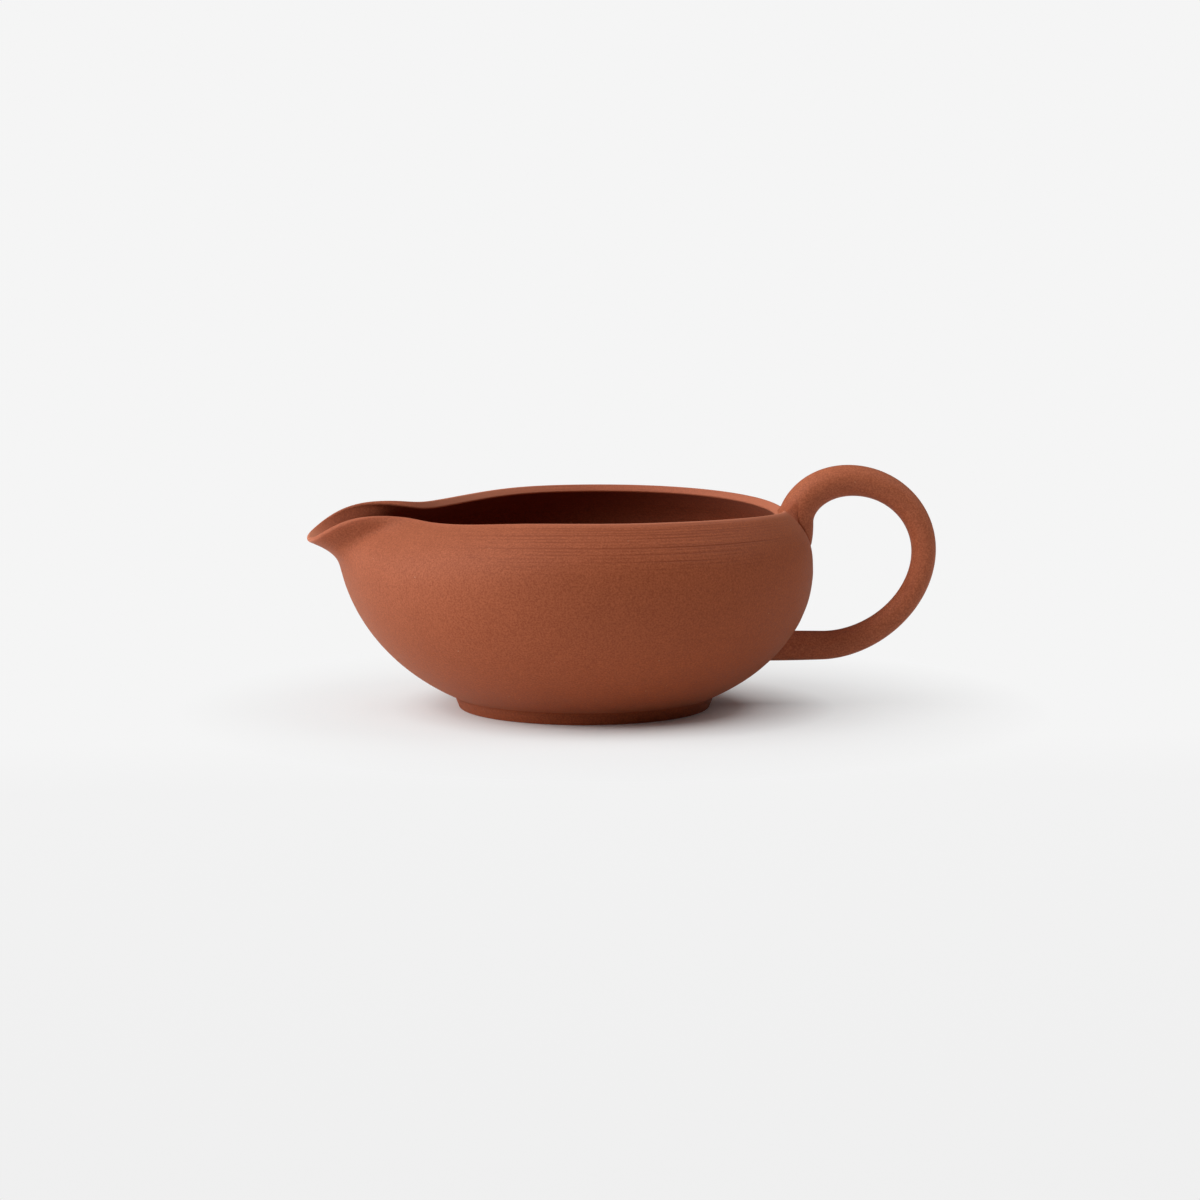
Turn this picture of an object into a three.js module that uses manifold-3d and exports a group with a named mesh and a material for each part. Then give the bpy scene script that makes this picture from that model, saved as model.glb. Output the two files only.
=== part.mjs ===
// A low thrown bowl of red clay with a pulled spout on one side and a coil handle on the other,
// used to let boiled water cool before it meets the tea. Four pieces that the potter makes apart
// are luted together: the bowl, the coil and the slip at each end of the coil.
// Millimetres, +Z up. The spout points to -X and the handle to +X.
import * as THREE from 'three';
import { mergeVertices } from 'three/addons/utils/BufferGeometryUtils.js';
import Module from 'manifold-3d';

// Thrown body
const bellyRadius = 54.35;
const bellyHeight = 33;
const rimRadius = 44.2;
const rimHeight = 47.55;
const rimShift = 3;
const shoulderCurve = 2.7;
const wall = 2.3;
const lipWall = 2;
const floorThickness = 3.2;

// The lower wall is a quarter ellipse that starts above the foot
const lowerWallReach = 48;
const lowerWallDepth = 35;

// Turned foot ring
const footRadius = 29.4;
const footFlare = 1.5;
const footHeight = 2.5;
const footWidth = 3.6;
const footEdge = 0.45;
const footCove = 0.6;

// Pulled spout, with angles in degrees from the middle of the spout
const spoutReach = 65;
const spoutDrop = 6.8;
const spoutDropCurve = 3.7;
const spoutHalfAngle = 30;
const spoutSquareness = 6.4;
const spoutRounding = 0.08;
const spoutCurve = 3.3;
const spoutBulge = 3.3;
const spoutBulgeAngle = 30;
const spoutBulgeCurve = 2.35;
const drawIn = 0.405;
const drawAngle = 50;
const drawSquareness = 10;
const spoutLipShare = 0.62;
const pinchDepth = 2.8;
const pinchAngle = 28;
const pinchSpread = 9;
const pinchRise = 3;
const rimDip = 1.75;
const rimDipAngle = 47;
const rimDipSpread = 0.31;
const handleSideDip = 1.9;
const handleSideAngle = 75;

// Coil handle: a loop in the XZ plane, given by the places where its middle line turns
const handleTop = { x: 63.3, z: 53.55 };
const handleOut = { x: 81.3, z: 36.5 };
const handleLow = { x: 57, z: 14 };
const handleRootHeight = 44;
const handleRootLean = 0.9;
const handleRootRise = 5;
const handleRootBuried = 8;
const handleBuried = 4;
const loopRoundness = 0.5523;
const lowLoopRoundness = 0.515;
const slimThickness = 5.85;
const upperRootThickness = 8.2;
const lowerRootThickness = 7.13;
const upperSwell = 1.7;
const lowerSwell = 2.2;
const slimPlace = 0.55;
const coilWidening = 1.12;

// Slip that lutes the handle on
const clearance = 0.3;
const slipBed = 0.9;
const slipLip = 0.4;
const slipFlare = 1;
const slipLength = 3.2;

// Fineness of the faceted solids
const sideSteps = 72;
const sideCrowding = 0.55;
const lowerSteps = 8;
const shoulderSteps = 9;
const lipSteps = 4;
const innerSteps = 9;
const coilSteps = 44;
const coilSides = 14;
const slipSteps = 8;

const toRadians = Math.PI / 180;
const probe = 0.002;

function spoutShare(side) {
  const away = side / spoutHalfAngle;
  return (1 - spoutRounding * Math.min(away, 1.5) ** 2) / (1 + away ** spoutSquareness);
}

// Middle line of the lip, at an angle of 0 in the middle of the spout and 180 at the handle
function rimAt(side) {
  const plainRadius = rimRadius - rimShift * Math.cos(side * toRadians);
  const share = spoutShare(side);
  const reach = spoutReach - (rimRadius - rimShift);
  const drawn = 1 - drawIn / (1 + (side / drawAngle) ** drawSquareness);
  const dipOffset = Math.log(Math.max(side, 1) / rimDipAngle) / rimDipSpread;
  const towardHandle = Math.max(0, (side - 180 + handleSideAngle) / handleSideAngle);
  return {
    radius: plainRadius + reach * share,
    side: side * drawn,
    height:
      rimHeight
      - spoutDrop * share ** spoutDropCurve
      - rimDip * Math.exp(-(dipOffset ** 2))
      - handleSideDip * towardHandle ** 2,
  };
}

// The wall swells out under the spout, and more so higher up
function swellAt(side, z) {
  const around = Math.exp(-((side / spoutBulgeAngle) ** 2));
  return spoutBulge * around * (z / bellyHeight) ** spoutBulgeCurve;
}

function place(angle, side, radius, z) {
  const turn = Math.sign(angle) * side * toRadians;
  return new THREE.Vector3(-radius * Math.cos(turn), radius * Math.sin(turn), z);
}

// Middle of the wall from the belly, rise 0, up to the lip, rise 1
function shoulderMiddle(angle, rise) {
  const side = Math.abs(angle);
  const rim = rimAt(side);
  const z = bellyHeight + (rim.height - bellyHeight) * rise;
  const belly = bellyRadius - wall / 2;
  const curve = shoulderCurve + (spoutCurve - shoulderCurve) * spoutShare(side);
  const pull = (rim.radius - belly - swellAt(side, rim.height)) * rise ** curve;
  const pinchOffset = (side - pinchAngle) / pinchSpread;
  const pinchShare = Math.exp(-(pinchOffset ** 2)) * Math.sin(Math.PI * rise ** pinchRise) ** 2;
  const radius = belly + swellAt(side, z) + pull - pinchDepth * pinchShare;
  const drawn = side + (rim.side - side) * Math.sin((Math.PI / 2) * rise) ** 1.5;
  return place(angle, drawn, radius, z);
}

// The wall gets thinner from the belly to the lip, and the lip of the spout is the thinnest
function halfWall(side, rise) {
  const plain = (wall + (lipWall - wall) * rise ** 2) / 2;
  return plain * (1 - (1 - spoutLipShare) * spoutShare(side) * rise ** 4);
}

// Outside of the wall from the foot, rise 0, up to the belly, rise 1
function lowerOuter(angle, rise) {
  const footTurn = Math.acos((bellyHeight - footHeight - footCove) / lowerWallDepth);
  const turn = footTurn + (Math.PI / 2 - footTurn) * rise;
  const z = bellyHeight - lowerWallDepth * Math.cos(turn);
  const plain = bellyRadius - lowerWallReach * (1 - Math.sin(turn));
  return place(angle, Math.abs(angle), plain + swellAt(Math.abs(angle), z), z);
}

// Inside of the wall from the floor, rise 0, up to the belly, rise 1
function lowerInner(angle, rise) {
  const turn = (Math.PI / 2) * rise;
  const depth = bellyHeight - footHeight - floorThickness + footEdge;
  const z = bellyHeight - depth * Math.cos(turn);
  const plain = bellyRadius - wall - (lowerWallReach - wall) * (1 - Math.sin(turn));
  return place(angle, Math.abs(angle), plain + swellAt(Math.abs(angle), z), z);
}

// Directions across and up the wall, found from three nearby points
function wallFrame(surface, angle, rise) {
  const step = rise > 0.5 ? -probe : probe;
  const here = surface(angle, rise);
  const up = surface(angle, rise + step).sub(here).divideScalar(step).normalize();
  const along = surface(angle + 100 * probe, rise).sub(here).normalize();
  const out = new THREE.Vector3().crossVectors(up, along).normalize();
  return { here, up: up.addScaledVector(out, -up.dot(out)).normalize(), out };
}

function offsetFrom(surface, angle, rise, distance) {
  const { here, out } = wallFrame(surface, angle, rise);
  return here.addScaledVector(out, distance);
}

// The columns crowd together at the spout, where the rim turns most
function columnAngles() {
  const angles = [];
  for (let column = 0; column < sideSteps; column += 1) {
    const turn = (2 * Math.PI * (column + 0.5)) / sideSteps - Math.PI;
    angles.push((turn - sideCrowding * Math.sin(turn)) / toRadians);
  }
  return angles;
}

// Joins rings of points, and one end point below and above them, into one closed surface
function closedSurface(start, rings, end) {
  const size = rings[0].length;
  const points = [start, ...rings.flat(), end];
  const last = points.length - 1;
  const index = [];
  const at = (ring, step) => 1 + ring * size + (step % size);
  for (let step = 0; step < size; step += 1) {
    index.push(0, at(0, step), at(0, step + 1));
    for (let ring = 0; ring + 1 < rings.length; ring += 1) {
      index.push(at(ring, step), at(ring + 1, step + 1), at(ring, step + 1));
      index.push(at(ring, step), at(ring + 1, step), at(ring + 1, step + 1));
    }
    index.push(last, at(rings.length - 1, step + 1), at(rings.length - 1, step));
  }
  const geometry = new THREE.BufferGeometry();
  geometry.setAttribute('position', new THREE.Float32BufferAttribute(points.flatMap((p) => p.toArray()), 3));
  geometry.setIndex(index);
  return geometry;
}

function ringOf(angles, point) {
  return angles.map(point);
}

function level(radius, z) {
  return (angle) => place(angle, Math.abs(angle), radius, z);
}

// Outer skin of the body, swollen by a gap: rings from the foot to the lip
function outerRings(angles, gap) {
  const rings = [];
  for (let step = 0; step < lowerSteps; step += 1) {
    rings.push(ringOf(angles, (angle) => offsetFrom(lowerOuter, angle, step / lowerSteps, gap)));
  }
  for (let step = 0; step <= shoulderSteps; step += 1) {
    const rise = step / shoulderSteps;
    rings.push(ringOf(angles, (angle) => {
      const half = halfWall(Math.abs(angle), rise);
      return offsetFrom(shoulderMiddle, angle, rise, half + gap);
    }));
  }
  return rings;
}

function makeBowl() {
  const angles = columnAngles();
  const recess = footHeight - footEdge;
  const innerFoot = footRadius - footWidth;
  const rings = [
    ringOf(angles, level(innerFoot - footFlare, recess)),
    ringOf(angles, level(innerFoot - footEdge, footEdge)),
    ringOf(angles, level(innerFoot, 0)),
    ringOf(angles, level(footRadius - footEdge, 0)),
    ringOf(angles, level(footRadius, footEdge)),
    ringOf(angles, level(footRadius + footFlare, footHeight)),
    ...outerRings(angles, 0),
  ];
  for (let step = 1; step < lipSteps; step += 1) {
    const turn = (Math.PI * step) / lipSteps;
    rings.push(ringOf(angles, (angle) => {
      const { here, up, out } = wallFrame(shoulderMiddle, angle, 1);
      const half = halfWall(Math.abs(angle), 1);
      here.addScaledVector(out, half * Math.cos(turn));
      return here.addScaledVector(up, half * Math.sin(turn));
    }));
  }
  for (let step = shoulderSteps; step >= 0; step -= 1) {
    const rise = step / shoulderSteps;
    rings.push(ringOf(angles, (angle) => {
      const half = halfWall(Math.abs(angle), rise);
      return offsetFrom(shoulderMiddle, angle, rise, -half);
    }));
  }
  for (let step = innerSteps - 1; step >= 0; step -= 1) {
    rings.push(ringOf(angles, (angle) => lowerInner(angle, step / innerSteps)));
  }
  const underside = new THREE.Vector3(0, 0, recess);
  const inside = new THREE.Vector3(0, 0, lowerInner(180, 0).z);
  return closedSurface(underside, rings, inside);
}

// The body as a solid lump, swollen by a gap, for cutting what is luted onto it
function bodyLump(gap) {
  const rings = outerRings(columnAngles(), gap);
  const bottom = new THREE.Vector3(0, 0, footHeight - gap);
  const top = new THREE.Vector3(0, 0, rimHeight);
  return closedSurface(bottom, rings, top);
}

// Middle line of the coil, from its buried upper end round to its buried lower end
function coilLine() {
  const at = (x, z) => new THREE.Vector3(x, 0, z);
  const rootRise = (handleRootHeight - bellyHeight) / (rimAt(180).height - bellyHeight);
  const rootX = shoulderMiddle(180, rootRise).x + halfWall(180, rootRise);
  const lean = at(handleRootLean, handleRootRise).normalize();
  const root = at(rootX, handleRootHeight);
  const buried = root.clone().addScaledVector(lean, -handleRootBuried);
  const topTurn = handleOut.x - handleTop.x;
  const topDrop = handleTop.z - handleOut.z;
  const lowTurn = handleOut.x - handleLow.x;
  const lowDrop = handleOut.z - handleLow.z;
  const lowerTurn = Math.acos((bellyHeight - handleLow.z) / lowerWallDepth);
  const lowerWallX = bellyRadius - lowerWallReach * (1 - Math.sin(lowerTurn));
  const line = new THREE.CurvePath();
  line.add(new THREE.LineCurve3(buried, root));
  line.add(new THREE.CubicBezierCurve3(
    root,
    root.clone().add(at(handleRootLean, handleRootRise)),
    at(handleTop.x - (handleTop.x - rootX) * loopRoundness, handleTop.z),
    at(handleTop.x, handleTop.z),
  ));
  line.add(new THREE.CubicBezierCurve3(
    at(handleTop.x, handleTop.z),
    at(handleTop.x + topTurn * loopRoundness, handleTop.z),
    at(handleOut.x, handleOut.z + topDrop * loopRoundness),
    at(handleOut.x, handleOut.z),
  ));
  line.add(new THREE.CubicBezierCurve3(
    at(handleOut.x, handleOut.z),
    at(handleOut.x, handleOut.z - lowDrop * lowLoopRoundness),
    at(handleLow.x + lowTurn * lowLoopRoundness, handleLow.z),
    at(handleLow.x, handleLow.z),
  ));
  line.add(new THREE.LineCurve3(at(handleLow.x, handleLow.z), at(lowerWallX - handleBuried, handleLow.z)));
  return line;
}

// The coil is slimmest in its outer bend and swells towards both ends
function coilHalfThickness(fraction) {
  const upper = fraction < slimPlace;
  const end = upper ? upperRootThickness : lowerRootThickness;
  const span = upper ? slimPlace : 1 - slimPlace;
  const away = Math.sin((Math.PI / 2) * Math.abs(fraction - slimPlace) / span);
  return (slimThickness + (end - slimThickness) * away ** (upper ? upperSwell : lowerSwell)) / 2;
}

// A closed sweep along part of the coil's line, with a half thickness given along it
function sweep(line, from, to, steps, halfThickness) {
  const rings = [];
  for (let step = 0; step <= steps; step += 1) {
    const fraction = from + ((to - from) * step) / steps;
    const centre = line.getPointAt(fraction);
    const forward = line.getTangentAt(fraction);
    const across = new THREE.Vector3(0, 1, 0);
    const normal = new THREE.Vector3().crossVectors(forward, across);
    const half = halfThickness(fraction);
    const ring = [];
    for (let side = 0; side < coilSides; side += 1) {
      const turn = (2 * Math.PI * side) / coilSides;
      const point = centre.clone().addScaledVector(normal, half * Math.cos(turn));
      ring.push(point.addScaledVector(across, half * coilWidening * Math.sin(turn)));
    }
    rings.push(ring);
  }
  return closedSurface(line.getPointAt(from), rings, line.getPointAt(to));
}

const wasm = await Module();
wasm.setup();

function toSolid(geometry) {
  const bare = mergeVertices(geometry, 1e-5);
  return new wasm.Manifold(new wasm.Mesh({
    numProp: 3,
    vertProperties: new Float32Array(bare.getAttribute('position').array),
    triVerts: new Uint32Array(bare.getIndex().array),
  }));
}

function toGeometry(solid) {
  const mesh = solid.getMesh();
  const geometry = new THREE.BufferGeometry();
  geometry.setAttribute('position', new THREE.Float32BufferAttribute(mesh.vertProperties, 3));
  geometry.setIndex(Array.from(mesh.triVerts));
  return geometry;
}

const line = coilLine();
const lineLength = line.getLength();

// The coil stops short of the wall by the bed of slip and a clearance on both its faces
function makeHandle() {
  const coil = toSolid(sweep(line, 0, 1, coilSteps, coilHalfThickness));
  return toGeometry(coil.subtract(toSolid(bodyLump(slipBed + 2 * clearance))));
}

// Slip is bedded under one end of the coil and smoothed out round it
function makeSlip(fromStart) {
  const buried = fromStart ? handleRootBuried : handleBuried;
  const length = (buried + slipLength) / lineLength;
  const from = fromStart ? 0 : 1 - length;
  const to = fromStart ? length : 1;
  const distance = (fraction) => (fromStart ? fraction : 1 - fraction) * lineLength - buried;
  const flare = (fraction) => {
    const left = Math.min(1, Math.max(0, 1 - distance(fraction) / slipLength));
    return coilHalfThickness(fraction) + clearance + slipLip + slipFlare * left ** 2;
  };
  const body = toSolid(sweep(line, from, to, slipSteps, flare));
  const room = toSolid(sweep(line, 0, 1, coilSteps, (fraction) => coilHalfThickness(fraction) + clearance));
  const coilRoom = room.subtract(toSolid(bodyLump(slipBed + clearance)));
  return toGeometry(body.subtract(toSolid(bodyLump(clearance))).subtract(coilRoom));
}

const clay = new THREE.MeshStandardMaterial({ color: 0xa9583c, roughness: 0.82, metalness: 0 });
const coilClay = new THREE.MeshStandardMaterial({ color: 0xa45439, roughness: 0.82, metalness: 0 });
const slip = new THREE.MeshStandardMaterial({ color: 0x9c4f35, roughness: 0.85, metalness: 0 });

function named(name, geometry, material) {
  const mesh = new THREE.Mesh(geometry, material);
  mesh.name = name;
  return mesh;
}

const pitcher = new THREE.Group();
pitcher.add(named('bowl', makeBowl(), clay));
pitcher.add(named('handle', makeHandle(), coilClay));
pitcher.add(named('upper_slip_joint', makeSlip(true), slip));
pitcher.add(named('lower_slip_joint', makeSlip(false), slip.clone()));

// The origin lies under the middle of the whole, on the plane that the foot stands on
const box = new THREE.Box3().setFromObject(pitcher);
pitcher.position.x = -(box.min.x + box.max.x) / 2;

export default pitcher;
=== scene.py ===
# %% [markdown]
# A water cooler is a low clay pitcher that lets boiled water cool before it meets the tea. The
# potter makes it from four lots of clay: a thrown bowl with a pulled spout, a rolled coil for the
# handle, and wet slip that lutes each end of the coil to the wall. This lesson dresses the plain
# solids of that pitcher with fine surfaces and a fired clay finish. The solids come in as a fixed
# frame, and shapes are in millimetres in that frame until a mesh is made. Finishes, the floor and
# the lamps are in metres, as Blender is.

# %% Load the frame
import math

import bpy
import numpy as np
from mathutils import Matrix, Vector
from mathutils.bvhtree import BVHTree


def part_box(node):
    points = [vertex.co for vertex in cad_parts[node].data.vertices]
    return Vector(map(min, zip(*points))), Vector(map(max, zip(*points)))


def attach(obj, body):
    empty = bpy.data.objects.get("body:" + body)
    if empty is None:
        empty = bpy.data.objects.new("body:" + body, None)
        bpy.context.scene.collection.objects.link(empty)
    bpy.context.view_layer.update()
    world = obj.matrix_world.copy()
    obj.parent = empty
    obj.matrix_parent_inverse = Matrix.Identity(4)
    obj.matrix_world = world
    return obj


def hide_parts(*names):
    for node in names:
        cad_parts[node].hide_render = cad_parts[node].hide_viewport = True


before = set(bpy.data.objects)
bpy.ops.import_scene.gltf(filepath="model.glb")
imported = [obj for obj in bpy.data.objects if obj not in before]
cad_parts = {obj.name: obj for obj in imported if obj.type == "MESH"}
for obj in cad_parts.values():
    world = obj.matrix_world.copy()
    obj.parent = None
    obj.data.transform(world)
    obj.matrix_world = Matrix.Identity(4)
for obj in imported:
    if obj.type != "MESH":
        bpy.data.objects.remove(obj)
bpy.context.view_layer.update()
MM = 0.001

bowl_low, bowl_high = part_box("bowl")
belly_radius = (bowl_high.y - bowl_low.y) / 2 / MM
axis_x = bowl_high.x / MM - belly_radius
print(f"The belly is {2 * belly_radius:.1f} mm across, and its axis is at x = {axis_x:.2f} mm")

# %% [markdown]
# The photograph looks at the pitcher from the side and a little from above, from far away, so that
# the near and the far rim make one narrow ellipse. A long lens at 0.9 m gives the same ellipse. The
# pitcher is turned by a few degrees, and here the camera turns instead, so that the spout and the
# handle stay in one upright plane of the frame.

# %% Camera
camera_place = (-54.33, -898.37, 143.2)
camera_tilt = 7.46
camera_turn = 3.7
lens_length = 114.39
sensor_width = 36

camera_data = bpy.data.cameras.new("camera")
camera_data.lens = lens_length
camera_data.sensor_width = sensor_width
camera_data.clip_start = 0.05
camera_data.clip_end = 40
camera = bpy.data.objects.new("camera", camera_data)
camera.location = ((axis_x + camera_place[0]) * MM, camera_place[1] * MM, camera_place[2] * MM)
camera.rotation_euler = (math.radians(90 - camera_tilt), 0, math.radians(-camera_turn))
bpy.context.scene.collection.objects.link(camera)
bpy.context.scene.camera = camera
print("The camera stands", [round(x, 3) for x in camera.location], "m from the origin")

# %% [markdown]
# The wall of a thrown bowl is a round profile turned about an axis, and only the spout breaks the
# roundness. A lathe modifier could turn the profile, but it can't pull a spout. So each level of
# the wall is a ring of points, and each column of points knows how far it is, as an angle, from
# the middle of the spout. A share that is 1 in the spout and falls to 0 beside it pulls the rim
# out and down there, as the potter's finger did.

# %% The plan and the height of the rim
rim_radius = 44.2
rim_height = 47.55
rim_shift = 3
spout_reach = 65
spout_drop = 6.8
spout_drop_curve = 3.7
spout_half_angle = 30
spout_squareness = 6.4
spout_rounding = 0.08
spout_rounding_end = 1.5
draw_in = 0.405
draw_angle = 50
draw_squareness = 10
rim_dip = 1.75
rim_dip_angle = 47
rim_dip_spread = 0.31
handle_side_dip = 1.9
handle_side_angle = 75


def spout_share(side):
    away = side / spout_half_angle
    rounded = 1 - spout_rounding * np.minimum(away, spout_rounding_end) ** 2
    return rounded / (1 + away**spout_squareness)


def rim_at(side):
    share = spout_share(side)
    plain = rim_radius - rim_shift * np.cos(np.radians(side))
    radius = plain + (spout_reach - (rim_radius - rim_shift)) * share
    drawn = 1 - draw_in / (1 + (side / draw_angle) ** draw_squareness)
    dip = np.exp(-((np.log(np.maximum(side, 1) / rim_dip_angle) / rim_dip_spread) ** 2))
    toward_handle = np.maximum(0, (side - 180 + handle_side_angle) / handle_side_angle)
    height = rim_height - spout_drop * share**spout_drop_curve
    return radius, side * drawn, height - rim_dip * dip - handle_side_dip * toward_handle**2


radius, side, height = rim_at(np.array([0.0, 180.0]))
print(f"The rim is {height[0]:.1f} mm high at the spout and {height[1]:.1f} mm at the handle")

# %% [markdown]
# From the foot to the belly the wall follows a quarter of an ellipse, and from the belly up it
# closes in towards the rim. Under the spout the belly swells, and beside it two fingers pinched a
# hollow under the lip. Each function gives points of one skin of the wall, with rise going from 0
# at its lower end to 1 at its upper end.

# %% The skins of the wall
belly_height = 33
shoulder_curve = 2.7
wall = 2.3
lip_wall = 2.1
floor_thickness = 3.2
lower_wall_reach = 48
lower_wall_depth = 35
foot_height = 2.5
foot_edge = 0.45
foot_cove = 0.6
spout_curve = 3.3
spout_bulge = 3.3
spout_bulge_angle = 30
spout_bulge_curve = 2.35
spout_lip_share = 0.62
spout_slimming = 4
draw_in_curve = 1.5
pinch_depth = 2.8
pinch_angle = 28
pinch_spread = 9
pinch_rise = 2.4


def place(angle, side, radius, z):
    turn = np.radians(np.sign(angle) * side)
    flat = np.broadcast_to(z, turn.shape)
    return np.stack([-radius * np.cos(turn), radius * np.sin(turn), flat], axis=-1)


def swell_at(side, z):
    return spout_bulge * np.exp(-((side / spout_bulge_angle) ** 2)) * (z / belly_height) ** spout_bulge_curve


def shoulder_middle(angle, rise):
    side = np.abs(angle)
    rim, rim_side, rim_z = rim_at(side)
    z = belly_height + (rim_z - belly_height) * rise
    belly = belly_radius - wall / 2
    curve = shoulder_curve + (spout_curve - shoulder_curve) * spout_share(side)
    pull = (rim - belly - swell_at(side, rim_z)) * rise**curve
    pinch = pinch_depth * np.exp(-(((side - pinch_angle) / pinch_spread) ** 2))
    pinch = pinch * math.sin(math.pi * rise**pinch_rise) ** 2
    drawn = side + (rim_side - side) * math.sin(math.pi / 2 * rise) ** draw_in_curve
    return place(angle, drawn, belly + swell_at(side, z) + pull - pinch, z)


def half_wall(side, rise):
    plain = (wall + (lip_wall - wall) * rise**2) / 2
    return plain * (1 - (1 - spout_lip_share) * spout_share(side) * rise**spout_slimming)


def lower_skin(angle, turn, depth, reach, radius):
    z = belly_height - depth * math.cos(turn)
    swell = swell_at(np.abs(angle), z)
    return place(angle, np.abs(angle), radius - reach * (1 - math.sin(turn)) + swell, z)


def lower_outside(angle, rise):
    start = math.acos((belly_height - foot_height - foot_cove) / lower_wall_depth)
    turn = start + (math.pi / 2 - start) * rise
    return lower_skin(angle, turn, lower_wall_depth, lower_wall_reach, belly_radius)


def lower_inside(angle, rise):
    depth = belly_height - foot_height - floor_thickness + foot_edge
    reach = lower_wall_reach - wall
    return lower_skin(angle, math.pi / 2 * rise, depth, reach, belly_radius - wall)


floor_level = lower_inside(np.array([180.0]), 0)[0, 2]
print(f"The floor inside is {floor_level:.1f} mm above the table")

# %% [markdown]
# A wall has a thickness, so the two skins lie on either side of its middle surface, along the
# surface's own normal. The normal is found in the way that a ruler would: by three points that
# lie very close together.

# %% Offsets from the middle of the wall
PROBE = 0.002


def wall_frame(surface, angle, rise):
    step = -PROBE if rise > 0.5 else PROBE
    here = surface(angle, rise)
    up = (surface(angle, rise + step) - here) / step
    along = surface(angle + 100 * PROBE, rise) - here
    out = np.cross(up, along)
    out /= np.linalg.norm(out, axis=-1, keepdims=True)
    up -= out * np.sum(up * out, axis=-1, keepdims=True)
    return here, up / np.linalg.norm(up, axis=-1, keepdims=True), out


lip_out = wall_frame(shoulder_middle, np.array([90.0]), 1)[2][0]
print(f"Beside the bowl the lip's outer side faces {math.degrees(math.asin(lip_out[2])):.0f} degrees up")

# %% [markdown]
# Every body in this lesson but the slip is a stack of rings closed by a point at each end. One
# helper joins them into a mesh, and takes the winding from the sign of the volume, so the faces
# always point out. Smooth shading suits fired clay, which has no hard edges. The spout has the
# tightest curves, so the columns of the bowl crowd together there.

# %% Rings into a closed body
side_steps = 300
side_crowding = 0.4


def column_angles():
    turn = 2 * np.pi * (np.arange(side_steps) + 0.5) / side_steps - np.pi
    return np.degrees(turn - side_crowding * np.sin(turn))


def signed_volume(mesh):
    mesh.calc_loop_triangles()
    points = np.array([v.co for v in mesh.vertices])
    corners = np.array([t.vertices for t in mesh.loop_triangles])
    a, b, c = (points[corners[:, i]] for i in range(3))
    return float(np.sum(a * np.cross(b, c)) / 6)


def finished(name, mesh):
    mesh.validate()
    mesh.update()
    piece = bpy.data.objects.new(name, mesh)
    bpy.context.scene.collection.objects.link(piece)
    if signed_volume(mesh) < 0:
        mesh.flip_normals()
    mesh.shade_smooth()
    print(f"{name}: {len(mesh.vertices)} points, {abs(signed_volume(mesh)) * 1e6:.1f} cm3")
    return piece


def closed_mesh(name, rings, start, end):
    size = len(rings[0])
    points = np.concatenate([[start], *rings, [end]]) + (axis_x, 0, 0)
    step = np.arange(size)
    after = (step + 1) % size
    last = 1 + (len(rings) - 1) * size
    faces = np.stack([np.zeros(size, int), 1 + after, 1 + step], axis=1).tolist()
    faces += np.stack([np.full(size, len(points) - 1), last + step, last + after], axis=1).tolist()
    for low in range(1, last, size):
        high = low + size
        faces += np.stack([low + step, low + after, high + after, high + step], axis=1).tolist()
    mesh = bpy.data.meshes.new(name)
    mesh.from_pydata(points * MM, [], faces)
    return finished(name, mesh)


columns = column_angles()
gaps = np.diff(columns)
print(f"{side_steps} columns, {gaps.min():.2f} degrees apart at the spout, {gaps.max():.2f} at the handle")

# %% [markdown]
# The foot ring is turned from leather hard clay, so its edges are crisp but rubbed round with a wet
# finger, and under it the base is hollowed. The lip is cut nearly level with two small rounded
# edges, and on the spout it thins into a half round. A bevel modifier could round these edges,
# but here every edge has its own radius, so each is a row of points on an arc.

# %% The outlines of the foot and the lip
foot_radius = 29.95
foot_flare = 0.8
foot_width = 3.6
foot_rows = 6
recess_radii = (0.1, 8, 16)
recess_corner = 0.5
recess_lead = 0.3
cove_radius = 1
cove_out = 0.8
cove_drop = 0.31
lip_rows = 12
lip_outer_edge = 0.45
lip_inner_edge = 0.4
lip_tilt = 0.1


def arc(centre, radius, start, end, rows):
    for row in range(rows + 1):
        turn = math.radians(start + (end - start) * row / rows)
        yield centre[0] + radius * math.cos(turn), centre[1] + radius * math.sin(turn)


def foot_profile():
    recess = foot_height - foot_edge
    inner = foot_radius - foot_width
    corner = inner - foot_flare - recess_corner
    cove = (foot_radius + foot_flare + cove_out, foot_height - cove_drop)
    yield from [(radius, recess) for radius in (*recess_radii, corner - recess_lead)]
    yield from arc((corner, recess - recess_corner), recess_corner, 90, 20, foot_rows)
    yield from arc((inner + foot_edge, foot_edge), foot_edge, 200, 270, foot_rows)
    yield from arc((foot_radius - foot_edge, foot_edge), foot_edge, 270, 340, foot_rows)
    yield from arc(cove, cove_radius, 195, 114, foot_rows)


def lip_corner(radius, row):
    turn = math.pi / 2 * row / lip_rows
    return lip_wall / 2 - radius + radius * math.cos(turn), radius * math.sin(turn)


def lip_profile():
    outer = [lip_corner(lip_outer_edge, row) for row in range(1, lip_rows + 1)]
    inner = [lip_corner(lip_inner_edge, row) for row in range(lip_rows, 0, -1)]
    flat = outer + [(-across, high) for across, high in inner]
    for step, (across, high) in enumerate(flat):
        turn = math.pi * (step + 1) / (len(flat) + 1)
        round_point = (lip_wall / 2 * math.cos(turn), lip_wall / 2 * math.sin(turn))
        yield (across, high + lip_tilt * (lip_wall / 2 - across)), round_point


print(f"The foot's outline has {len(list(foot_profile()))} points and the lip's {len(list(lip_profile()))}")

# %% [markdown]
# The potter's fingers leave shallow rings in the wall as the wheel turns: they are a small part of
# a millimetre deep, and slightly wavy. Those that a hand can feel belong in the mesh, and the finest
# ones come later from the finish. The rings fade near the foot, near the lip and by the spout,
# where the wall was smoothed again.

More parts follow.
